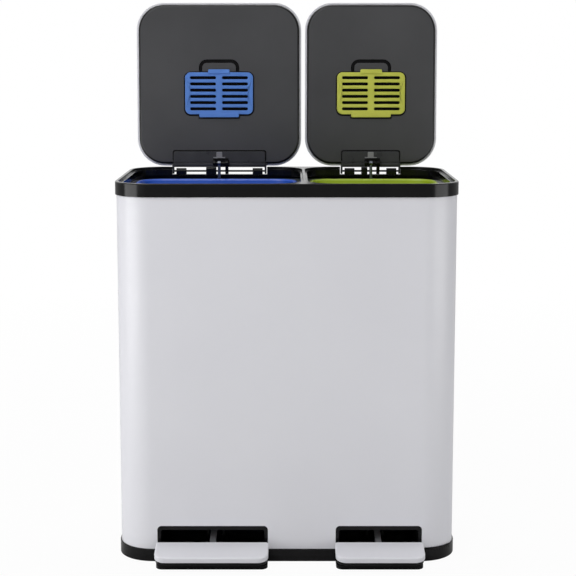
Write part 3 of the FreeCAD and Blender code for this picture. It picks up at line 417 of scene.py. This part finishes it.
edgeWidths = {  # mm of rounding on the edges that the CAD leaves sharp
    "top_frame": 0.4, "base": 0.25, "bucket_deck": 0.5, "base_pads": 0.3,
    "hinge_pin": 0.2, "damper": 0.5, "bucket": 0.4, "pedal_surround": 0.6, "pedal_bracket": 0.4,
    "pedal_shaft": 0.3, "rod_guide": 0.4, "lid_skin": 0.2, "lid_panel": 0.35, "hinge_plate": 0.4,
    "crank": 0.3, "clip": 0.25, "filter_pad": 0.6, "push_rod": 0.25, "pedal_plate": 0.3,
    "pedal_tray": 0.5, "pedal_lever": 0.6,
}
for name in nodes:
    kind = name.split("_", 1)[1] if name.startswith(sides) else name
    if kind in edgeWidths:
        fromCad(name, edgeWidths[kind], look=blackenedPin if kind == "hinge_pin" else None)
print("mouldings and pressings made from the CAD solids")


def newTree(name, inputs):
    tree = bpy.data.node_groups.new(name, "GeometryNodeTree")
    tree.interface.new_socket("Geometry", in_out="INPUT", socket_type="NodeSocketGeometry")
    for label, value in inputs.items():
        kind = "NodeSocketInt" if isinstance(value, int) else "NodeSocketFloat"
        socketIn(tree, label, kind, value)
    tree.interface.new_socket("Material", in_out="INPUT", socket_type="NodeSocketMaterial")
    tree.interface.new_socket("Geometry", in_out="OUTPUT", socket_type="NodeSocketGeometry")
    return tree, tree.nodes.new("NodeGroupInput"), tree.nodes.new("NodeGroupOutput")


def wire(tree, value, slot):
    if isinstance(value, (int, float)):
        slot.default_value = value
    else:
        tree.links.new(value, slot)


def roundedCurve(tree, width, height, corner, steps=10):
    frameCurve = tree.nodes.new("GeometryNodeCurvePrimitiveQuadrilateral")
    wire(tree, width, frameCurve.inputs["Width"])
    wire(tree, height, frameCurve.inputs["Height"])
    fillet = tree.nodes.new("GeometryNodeFilletCurve")
    fillet.mode = "POLY"
    fillet.inputs["Count"].default_value = steps
    wire(tree, corner, fillet.inputs["Radius"])
    tree.links.new(frameCurve.outputs[0], fillet.inputs["Curve"])
    return fillet.outputs[0]


def solidFrom(tree, curves, depth):
    # fills one or more curves and gives the face a thickness, closed on both sides
    joined = tree.nodes.new("GeometryNodeJoinGeometry")
    for curve in curves:
        tree.links.new(curve, joined.inputs[0])
    face = tree.nodes.new("GeometryNodeFillCurve")
    face.mode = "NGONS" if len(curves) == 1 else "TRIANGLES"
    tree.links.new(joined.outputs[0], face.inputs[0])
    raised = tree.nodes.new("GeometryNodeExtrudeMesh")
    raised.inputs["Individual"].default_value = False
    wire(tree, depth, raised.inputs["Offset Scale"])
    tree.links.new(face.outputs[0], raised.inputs["Mesh"])
    flipped = tree.nodes.new("GeometryNodeFlipFaces")
    tree.links.new(face.outputs[0], flipped.inputs[0])
    closed = tree.nodes.new("GeometryNodeJoinGeometry")
    tree.links.new(raised.outputs["Mesh"], closed.inputs[0])
    tree.links.new(flipped.outputs[0], closed.inputs[0])
    merged = tree.nodes.new("GeometryNodeMergeByDistance")
    merged.inputs["Distance"].default_value = weld["filled"]
    tree.links.new(closed.outputs[0], merged.inputs[0])
    return merged.outputs[0]


def moved(tree, geometry, place):
    shift = tree.nodes.new("GeometryNodeTransform")
    point = tree.nodes.new("ShaderNodeCombineXYZ")
    for slot, value in zip(point.inputs, place):
        wire(tree, value, slot)
    tree.links.new(point.outputs[0], shift.inputs["Translation"])
    tree.links.new(geometry, shift.inputs[0])
    return shift.outputs[0]


def cutAway(tree, solid, cutters):
    cut = tree.nodes.new("GeometryNodeMeshBoolean")
    cut.operation = "DIFFERENCE"
    cut.solver = "EXACT"
    tree.links.new(solid, cut.inputs["Mesh 1"])
    for cutter in cutters:
        tree.links.new(cutter, cut.inputs["Mesh 2"])
    return cut.outputs[0]


def finishTree(tree, start, end, geometry):
    realized = tree.nodes.new("GeometryNodeRealizeInstances")
    tree.links.new(geometry, realized.inputs[0])
    painted = tree.nodes.new("GeometryNodeSetMaterial")
    tree.links.new(realized.outputs[0], painted.inputs[0])
    tree.links.new(start.outputs["Material"], painted.inputs["Material"])
    tree.links.new(painted.outputs[0], end.inputs[0])


def runTree(name, tree, values, look):
    # runs a tree on an empty mesh and returns its result as a plain object
    piece = bpy.data.objects.new(name, bpy.data.meshes.new(name))
    bpy.context.scene.collection.objects.link(piece)
    modifier = piece.modifiers.new("shape", "NODES")
    modifier.node_group = tree
    for item in tree.interface.items_tree:
        if item.in_out == "INPUT" and item.name in values:
            value = values[item.name]
            modifier[item.identifier] = value if isinstance(value, int) else value * mm
        elif item.in_out == "INPUT" and item.name == "Material":
            modifier[item.identifier] = look
    return bake(piece)


def half(tree, value):
    return mathNode(tree, "MULTIPLY", value, 0.5)


grille = {"Width": 108.9, "Height": 67.2, "Corner": 9.0, "Thickness": 1.9, "Slot length": 41.6,
          "Slot height": 4.7, "Column pitch": 51.2, "Row pitch": 9.95, "Rows": 6,
          "Plug inset": 4.8, "Plug depth": 2.1, "Pull width": 34.6, "Pull reach": 4.7,
          "Tab width": 63.6, "Tab reach": 4.8, "Tab corner": 2.2, "Bar depth": 2.2,
          "Bar proud": 2.0}
grilleSeat = {"y": -124.9, "z": -5.3, "edge": 0.85, "edgeSteps": 3}  # mm, on the closed lid
slotEnd = 0.48  # share of the slot's height that rounds its ends


def makeGrilleTree():
    # slots on a grid, cut out of the cover and out of the plug behind it, and the two tabs
    tree, start, end = newTree("ventGrille", grille)
    size = start.outputs
    slot = roundedCurve(tree, size["Slot length"], size["Slot height"],
                        mathNode(tree, "MULTIPLY", size["Slot height"], slotEnd), 8)
    grid = tree.nodes.new("GeometryNodeMeshGrid")
    grid.inputs["Vertices X"].default_value = 2
    tree.links.new(size["Rows"], grid.inputs["Vertices Y"])
    tree.links.new(size["Column pitch"], grid.inputs["Size X"])
    steps = mathNode(tree, "SUBTRACT", size["Rows"], 1.0)
    tree.links.new(mathNode(tree, "MULTIPLY", steps, size["Row pitch"]), grid.inputs["Size Y"])
    placed = tree.nodes.new("GeometryNodeInstanceOnPoints")
    tree.links.new(grid.outputs["Mesh"], placed.inputs["Points"])
    tree.links.new(slot, placed.inputs["Instance"])
    slots = tree.nodes.new("GeometryNodeRealizeInstances")
    tree.links.new(placed.outputs[0], slots.inputs[0])
    cover = roundedCurve(tree, size["Width"], size["Height"], size["Corner"])
    inset = mathNode(tree, "MULTIPLY", size["Plug inset"], 2.0)
    plug = roundedCurve(tree, mathNode(tree, "SUBTRACT", size["Width"], inset),
                        mathNode(tree, "SUBTRACT", size["Height"], inset),
                        mathNode(tree, "SUBTRACT", size["Corner"], size["Plug inset"]))
    solids = [solidFrom(tree, [cover, slots.outputs[0]], size["Thickness"]),
              moved(tree, solidFrom(tree, [plug, slots.outputs[0]], size["Plug depth"]),
                    (0.0, 0.0, size["Thickness"]))]
    edge = half(tree, size["Height"])
    for name, sign in (("Pull", -1.0), ("Tab", 1.0)):
        deep = mathNode(tree, "ADD", size[name + " reach"], size["Bar depth"])
        outline = roundedCurve(tree, size[name + " width"], deep, size["Tab corner"])
        tab = solidFrom(tree, [outline],
                        mathNode(tree, "ADD", size["Thickness"], size["Bar proud"]))
        raised = mathNode(tree, "MULTIPLY", size["Bar proud"], -1.0)
        out = half(tree, mathNode(tree, "SUBTRACT", size[name + " reach"], size["Bar depth"]))
        place = mathNode(tree, "MULTIPLY", mathNode(tree, "ADD", edge, out), sign)
        solids.append(moved(tree, tab, (0.0, place, raised)))
    joined = tree.nodes.new("GeometryNodeJoinGeometry")
    for solid in solids:
        tree.links.new(solid, joined.inputs[0])
    finishTree(tree, start, end, joined.outputs[0])
    return tree


def makeGrilles():
    tree = makeGrilleTree()
    for side in sides:
        node = side + "_filter_cover"
        piece = runTree(pieceName(node), tree, grille, looks[slotOf[node]])
        centre = Vector((lidMiddle[side], grilleSeat["y"], grilleSeat["z"])) * mm
        piece.data.transform(openLid @ Matrix.Translation(centre))
        roundEdges(piece, grilleSeat["edge"], grilleSeat["edgeSteps"])
        settle(piece, node)


makeGrilles()
print("grilles made")


bucketLip = {"radius": 2.75, "corner": 36.0, "steps": 14, "sides": 16}


def makeBeadTree():
    # a round bead that follows a rounded rectangle
    tree, start, end = newTree("rolledBead", {"Width": 200.0, "Depth": 200.0, "Corner": 30.0,
                                              "Radius": 2.0})
    size = start.outputs
    path = roundedCurve(tree, size["Width"], size["Depth"], size["Corner"], bucketLip["steps"])
    profile = tree.nodes.new("GeometryNodeCurvePrimitiveCircle")
    profile.inputs["Resolution"].default_value = bucketLip["sides"]
    tree.links.new(size["Radius"], profile.inputs["Radius"])
    swept = tree.nodes.new("GeometryNodeCurveToMesh")
    tree.links.new(path, swept.inputs["Curve"])
    tree.links.new(profile.outputs[0], swept.inputs["Profile Curve"])
    finishTree(tree, start, end, swept.outputs[0])
    return tree


def makeBucketLips():
    tree = makeBeadTree()
    for side in sides:
        node = side + "_bucket"
        low, high = (Vector(corner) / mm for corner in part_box(node))
        radius = bucketLip["radius"]
        values = {"Width": high.x - low.x - 2 * radius, "Depth": high.y - low.y - 2 * radius,
                  "Corner": bucketLip["corner"] - radius, "Radius": radius}
        # lip colour lighter than the bucket's: painted highlight
        look = lipHighlightLooks[side]
        piece = runTree(side + "BucketLip", tree, values, look)
        middle = (low + high) / 2
        place = Vector((middle.x, middle.y, high.z - radius)) * mm
        piece.data.transform(Matrix.Translation(place))
        piece.data.shade_smooth()
        fixNormals(piece)
        piece.data.materials.clear()
        piece.data.materials.append(look)
        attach(piece, "body")
        tuckLip(bpy.data.objects[pieceName(node)], (high.z - radius) * mm)


def fixNormals(piece):
    work = bmesh.new()
    work.from_mesh(piece.data)
    bmesh.ops.remove_doubles(work, verts=work.verts, dist=weld["bead"])
    bmesh.ops.recalc_face_normals(work, faces=work.faces)
    work.to_mesh(piece.data)
    work.free()


def tuckLip(bucket, height):
    # lowers the bucket's square edge into the rolled bead that covers it
    for vertex in bucket.data.vertices:
        vertex.co.z = min(vertex.co.z, height)


makeBucketLips()
print("bucket lips made")


def makePlateTree():
    tree, start, end = newTree("roundedPlate", {"Width": 10.0, "Height": 10.0, "Corner": 1.0,
                                                "Thickness": 1.0})
    size = start.outputs
    outline = roundedCurve(tree, size["Width"], size["Height"], size["Corner"])
    finishTree(tree, start, end, solidFrom(tree, [outline], size["Thickness"]))
    return tree


def makeFrameTree():
    # a rounded ring whose border may be narrower at the hinge end
    tree, start, end = newTree("roundedRing", {"Width": 20.0, "Height": 20.0, "Corner": 3.0,
                                               "Border": 2.0, "Near border": 2.0,
                                               "Thickness": 1.0})
    size = start.outputs
    twice = mathNode(tree, "MULTIPLY", size["Border"], 2.0)
    both = mathNode(tree, "ADD", size["Border"], size["Near border"])
    inner = roundedCurve(tree, mathNode(tree, "SUBTRACT", size["Width"], twice),
                         mathNode(tree, "SUBTRACT", size["Height"], both),
                         mathNode(tree, "SUBTRACT", size["Corner"], size["Border"]))
    slide = half(tree, mathNode(tree, "SUBTRACT", size["Border"], size["Near border"]))
    outline = roundedCurve(tree, size["Width"], size["Height"], size["Corner"])
    ring = solidFrom(tree, [outline, moved(tree, inner, (0.0, slide, 0.0))], size["Thickness"])
    finishTree(tree, start, end, ring)
    return tree


def addOnLid(side, name, tree, values, x, slot):
    # a small piece seated on the underside of a lid, given in mm on the closed lid
    piece = runTree(side + name, tree, values, looks[slot])
    place = Vector((x, values["y"], values["z"])) * mm
    piece.data.transform(openLid @ Matrix.Translation(place))
    roundEdges(piece, values["edge"])
    piece.data.materials.clear()
    piece.data.materials.append(looks[slot])
    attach(piece, side + "_lid")


# painted shade: a thin black ring on the floor of the lid's finger groove stands in for the
# groove's shade
gripShadeLiner = {"Width": 64.7, "Height": 24.8, "Corner": 13.0, "Border": 5.4, "Near border": 0.6,
             "Thickness": 0.5, "y": -166.5, "z": -1.9, "edge": 0.1}
# painted shadow: a thin black ring around the grille stands in for the shadow in the gap around
# it
coverShadowRing = {"Width": 112.9, "Height": 71.2, "Corner": 10.9, "Border": 4.0, "Near border": 4.0,
             "Thickness": 0.5, "y": -124.2, "z": -3.75, "edge": 0.15}
# painted shadow: a black plate a little larger than the hinge plate shows as a dark outline
# standing in for the shadow around it
plateShadowSeat = {"Height": 18.6, "Corner": 3.6, "Thickness": 0.9, "y": -24.6, "z": -4.1, "edge": 0.3}
plateHalf = {"left": 73.5, "right": 45.7, "margin": 4.0}
skinHem = {"Border": 2.9, "Near border": 2.9, "Thickness": 0.8, "z": 2.45, "edge": 0.3,
           "inset": 0.3}
clipRib = {"Width": 7.6, "Height": 1.3, "Corner": 0.5, "Thickness": 0.7, "z": -7.9, "edge": 0.2}
clipRibs = {"count": 3, "first": -29.4, "pitch": 2.9}


def makeLidDetails():
    plate, ring = makePlateTree(), makeFrameTree()
    for side in sides:
        x = lidMiddle[side]
        low, high = (Vector(corner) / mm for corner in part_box(side + "_lid_skin"))
        hem = dict(skinHem, Width=high.x - low.x - skinHem["inset"],
                   Height=lid["reach"] - skinHem["inset"], Corner=lid["corner"],
                   y=-lid["setback"] - lid["reach"] / 2)
        addOnLid(side, "SkinHem", ring, hem, (low.x + high.x) / 2, "white_enamel")
        # painted shade ring in the finger groove
        addOnLid(side, "GripLiner", ring, gripShadeLiner, x, "black_plastic")
        # painted shadow ring around the grille
        addOnLid(side, "CoverSeal", ring, coverShadowRing, x, "black_plastic")
        # painted shadow outline under the hinge plate
        seat = dict(plateShadowSeat, Width=2 * plateHalf[side] + plateHalf["margin"])
        addOnLid(side, "PlateSeat", plate, seat, x, "black_plastic")
        for count in range(clipRibs["count"]):
            rib = dict(clipRib, y=clipRibs["first"] + count * clipRibs["pitch"])
            addOnLid(side, "ClipRib%d" % (count + 1), plate, rib, x, "clip_plastic")


makeLidDetails()
print("lid details made")


wrap = {"Width": 496.0, "Depth": 286.0, "Corner": 51.0, "Sheet": 1.0, "Low": 3.15, "High": 543.0,
        "Notch top": 53.0, "Notch corner": 6.0, "Cutter reach": 60.0, "Left notch": 162.2, 
        "Left middle": -109.0, "Right notch": 126.6, "Right middle": 135.0}
# the cutter's place is a share of the depth
wrapFinish = {"edge": 0.3, "cornerSteps": 28, "cutterPlace": -0.4}


def makeWrapTree():
    tree, start, end = newTree("steelWrap", wrap)
    size = start.outputs
    twice = mathNode(tree, "MULTIPLY", size["Sheet"], 2.0)
    steps = wrapFinish["cornerSteps"]
    outer = roundedCurve(tree, size["Width"], size["Depth"], size["Corner"], steps)
    inner = roundedCurve(tree, mathNode(tree, "SUBTRACT", size["Width"], twice),
                         mathNode(tree, "SUBTRACT", size["Depth"], twice),
                         mathNode(tree, "SUBTRACT", size["Corner"], size["Sheet"]), steps)
    tall = mathNode(tree, "SUBTRACT", size["High"], size["Low"])
    body = moved(tree, solidFrom(tree, [outer, inner], tall), (0.0, 0.0, size["Low"]))
    cutters = []
    for side in ("Left", "Right"):
        tallNotch = mathNode(tree, "MULTIPLY", size["Notch top"], 2.0)
        outline = roundedCurve(tree, size[side + " notch"], tallNotch, size["Notch corner"])
        block = solidFrom(tree, [outline], size["Cutter reach"])
        turn = tree.nodes.new("GeometryNodeTransform")
        turn.inputs["Rotation"].default_value = (math.radians(90), 0, 0)
        tree.links.new(block, turn.inputs[0])
        front = mathNode(tree, "MULTIPLY", size["Depth"], wrapFinish["cutterPlace"])
        cutters.append(moved(tree, turn.outputs[0], (size[side + " middle"], front, 0.0)))
    finishTree(tree, start, end, cutAway(tree, body, cutters))
    return tree


def makeWrap():
    piece = runTree("outerShell", makeWrapTree(), wrap, looks["white_enamel"])
    roundEdges(piece, wrapFinish["edge"])
    settle(piece, "outer_shell")


makeWrap()
print("steel wrap made")


studio = {"floor": 60.0, "floorTone": 0.5, "nearWhite": 0.96, "frontLevel": 0.12, "topLevel": 0.5,
          "behindLevel": 1.0, "behind": (-0.1, 0.35), "above": (0.35, 0.75),
          "fade": (0.5, 2.2), "floorRough": 0.9, "floorSpecular": 0.1}


def makeFloor():
    bpy.ops.mesh.primitive_plane_add(size=studio["floor"])
    floor = bpy.context.object
    floor.name = "floor"
    made, tree, shader, coords = newMaterial("paleFloor")
    shader.inputs["Base Color"].default_value = (*[studio["floorTone"]] * 3, 1)
    shader.inputs["Roughness"].default_value = studio["floorRough"]
    shader.inputs["Specular IOR Level"].default_value = studio["floorSpecular"]
    white = addNode(tree, "ShaderNodeEmission", Strength=1.0)
    away = addNode(tree, "ShaderNodeVectorMath", operation="LENGTH")
    tree.links.new(coords, away.inputs[0])
    fade = spread(tree, away.outputs["Value"], studio["nearWhite"], 1.0, *studio["fade"])
    path = tree.nodes.new("ShaderNodeLightPath")
    share = mathNode(tree, "MULTIPLY", path.outputs["Is Camera Ray"], fade)
    mixed = tree.nodes.new("ShaderNodeMixShader")
    tree.links.new(share, mixed.inputs[0])
    tree.links.new(shader.outputs[0], mixed.inputs[1])
    tree.links.new(white.outputs[0], mixed.inputs[2])
    tree.links.new(mixed.outputs[0], tree.nodes["Material Output"].inputs["Surface"])
    floor.data.materials.append(made)


def makeWorld():
    # white behind the bin and overhead, dim in front of it, and plain white to the camera
    world = bpy.data.worlds.new("studio")
    bpy.context.scene.world = world
    world.use_nodes = True
    tree = world.node_tree
    back = tree.nodes["Background"]
    back.inputs["Color"].default_value = (1, 1, 1, 1)
    direction = tree.nodes.new("ShaderNodeTexCoord").outputs["Generated"]
    parts = tree.nodes.new("ShaderNodeSeparateXYZ")
    tree.links.new(direction, parts.inputs[0])
    behind = spread(tree, parts.outputs["Y"], studio["frontLevel"], studio["behindLevel"],
                    *studio["behind"])
    above = spread(tree, parts.outputs["Z"], 0.0, studio["topLevel"], *studio["above"])
    level = mathNode(tree, "MAXIMUM", behind, above)
    path = tree.nodes.new("ShaderNodeLightPath")
    seen = mathNode(tree, "MAXIMUM", path.outputs["Is Camera Ray"], level)
    tree.links.new(seen, back.inputs["Strength"])


lamps = {  # place and aim in m, sizes in m, power in W
    "frontSoftbox": ((-0.9, -1.7, 2.5), (0, 0, 0.4), (1.8, 2.4), 36.0),
    "lowSoftbox": ((-1.9, -2.6, 0.9), (0, 0, 0.3), (1.6, 1.2), 5.5),
    "leftStrip": ((-1.6, -0.75, 0.15), (-0.25, 0, 0.35), (1.3, 0.9), 16.0),
    "rightStrip": ((1.6, -0.9, 0.15), (0.25, 0, 0.35), (1.4, 0.9), 12.0),
    "backSoftbox": ((0.1, 1.5, 2.0), (0, 0, 0.55), (1.6, 0.8), 22.0),
}


def addLamp(name, place, aim, size, power):
    data = bpy.data.lights.new(name, "AREA")
    data.shape = "RECTANGLE"
    data.size, data.size_y = size
    data.energy = power
    lamp = bpy.data.objects.new(name, data)
    lamp.location = place
    lamp.rotation_euler = (Vector(aim) - Vector(place)).to_track_quat("-Z", "Y").to_euler()
    bpy.context.scene.collection.objects.link(lamp)


photoView = {"place": (0.0017, -2.1, 0.7495), "tilt": 7.534, "focal": 1384.2, "shift": 0.10,
             "pixels": 576, "sensor": 36.0, "farthest": 100.0}  # focal length in pixels


def makeCamera():
    data = bpy.data.cameras.new("camera")
    data.sensor_width = photoView["sensor"]
    data.lens = photoView["focal"] / photoView["pixels"] * photoView["sensor"]
    data.shift_y = -photoView["shift"]
    data.clip_end = photoView["farthest"]
    camera = bpy.data.objects.new("camera", data)
    camera.location = photoView["place"]
    camera.rotation_euler = (math.radians(90 - photoView["tilt"]), 0, 0)
    bpy.context.scene.collection.objects.link(camera)
    bpy.context.scene.camera = camera


makeFloor()
makeWorld()
for name, values in lamps.items():
    addLamp(name, *values)
makeCamera()
bpy.context.scene.view_settings.view_transform = "Standard"
print("studio built")
